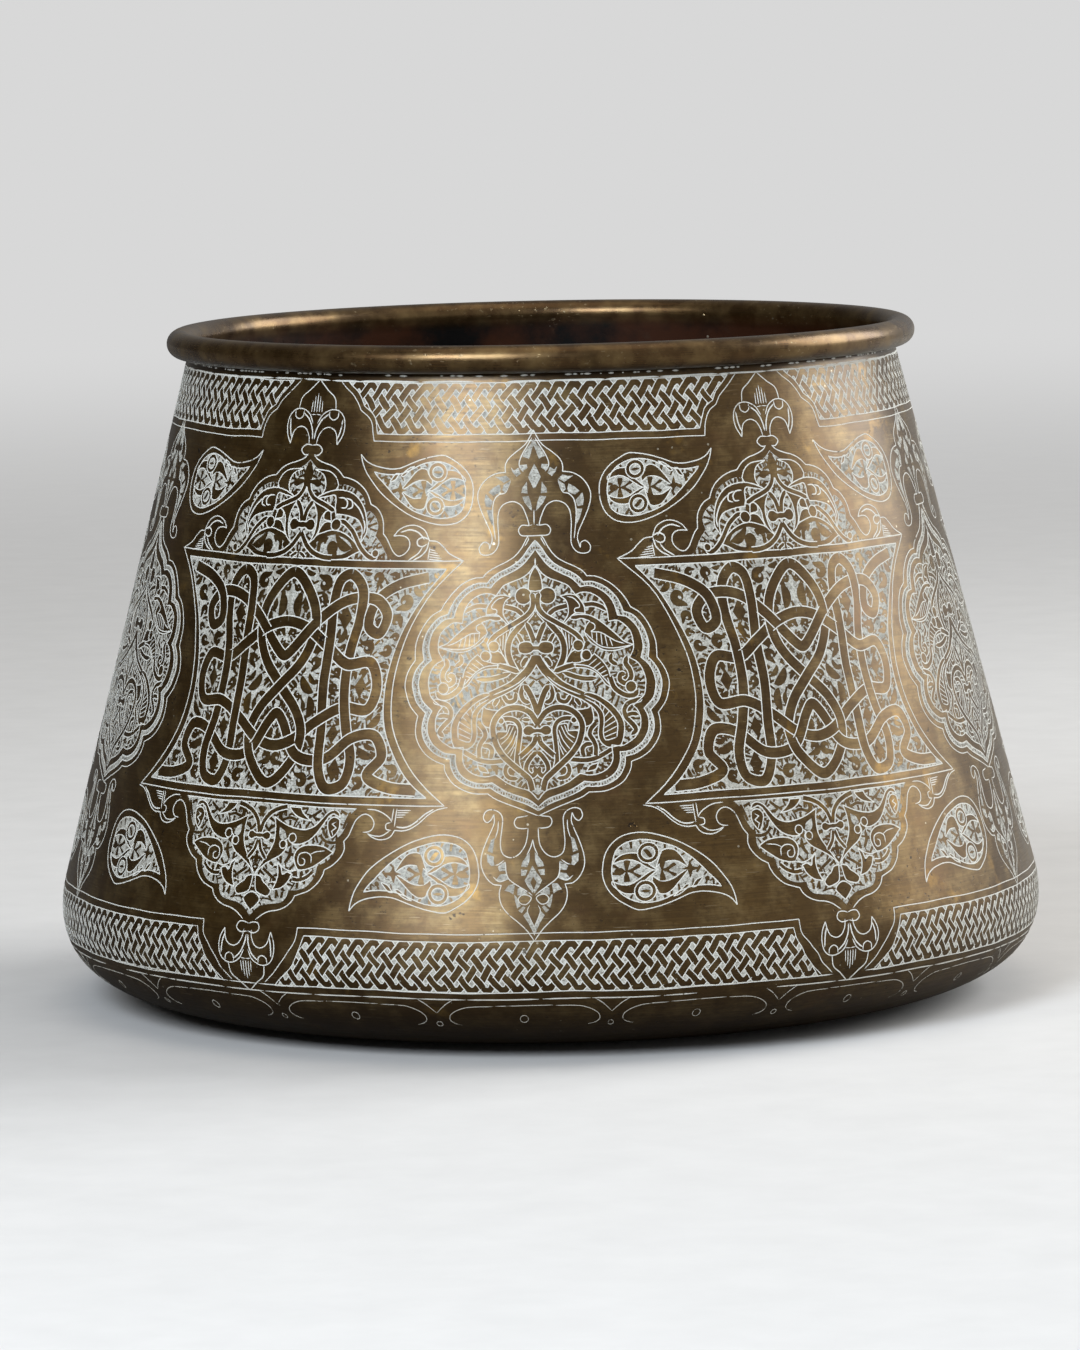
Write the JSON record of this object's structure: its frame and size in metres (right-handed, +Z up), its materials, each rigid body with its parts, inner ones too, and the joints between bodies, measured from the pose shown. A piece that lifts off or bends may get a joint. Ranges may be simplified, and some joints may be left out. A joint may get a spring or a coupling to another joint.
{
  "type": "engraved brass bowl",
  "caption": "Deep round bowl of raised sheet brass with a wide rounded heel, a wall leaning in to a narrower mouth, a wired rolled rim and a brazed base plate.",
  "frame": {"origin": "centre of the flat ring that the bowl stands on", "axes": "+Z up through the mouth, along the bowl's axis; -Y towards the viewer of the picture"},
  "size_m": [0.299, 0.299, 0.2047],
  "materials": {
    "patinated_brass": "hand-burnished, brown patina",
    "base_brass": "dull hammered brass",
    "iron_wire": "drawn iron, dark scale",
    "brazing_spelter": "as cast, yellow",
    "line_infill": "chalky white paste pressed into engraved lines"
  },
  "bodies": {
    "root": {"wall_sheet": "patinated_brass", "base_plate": "base_brass", "rim_wire": "iron_wire", "brazed_seam": "brazing_spelter"}
  },
  "joints": []
}
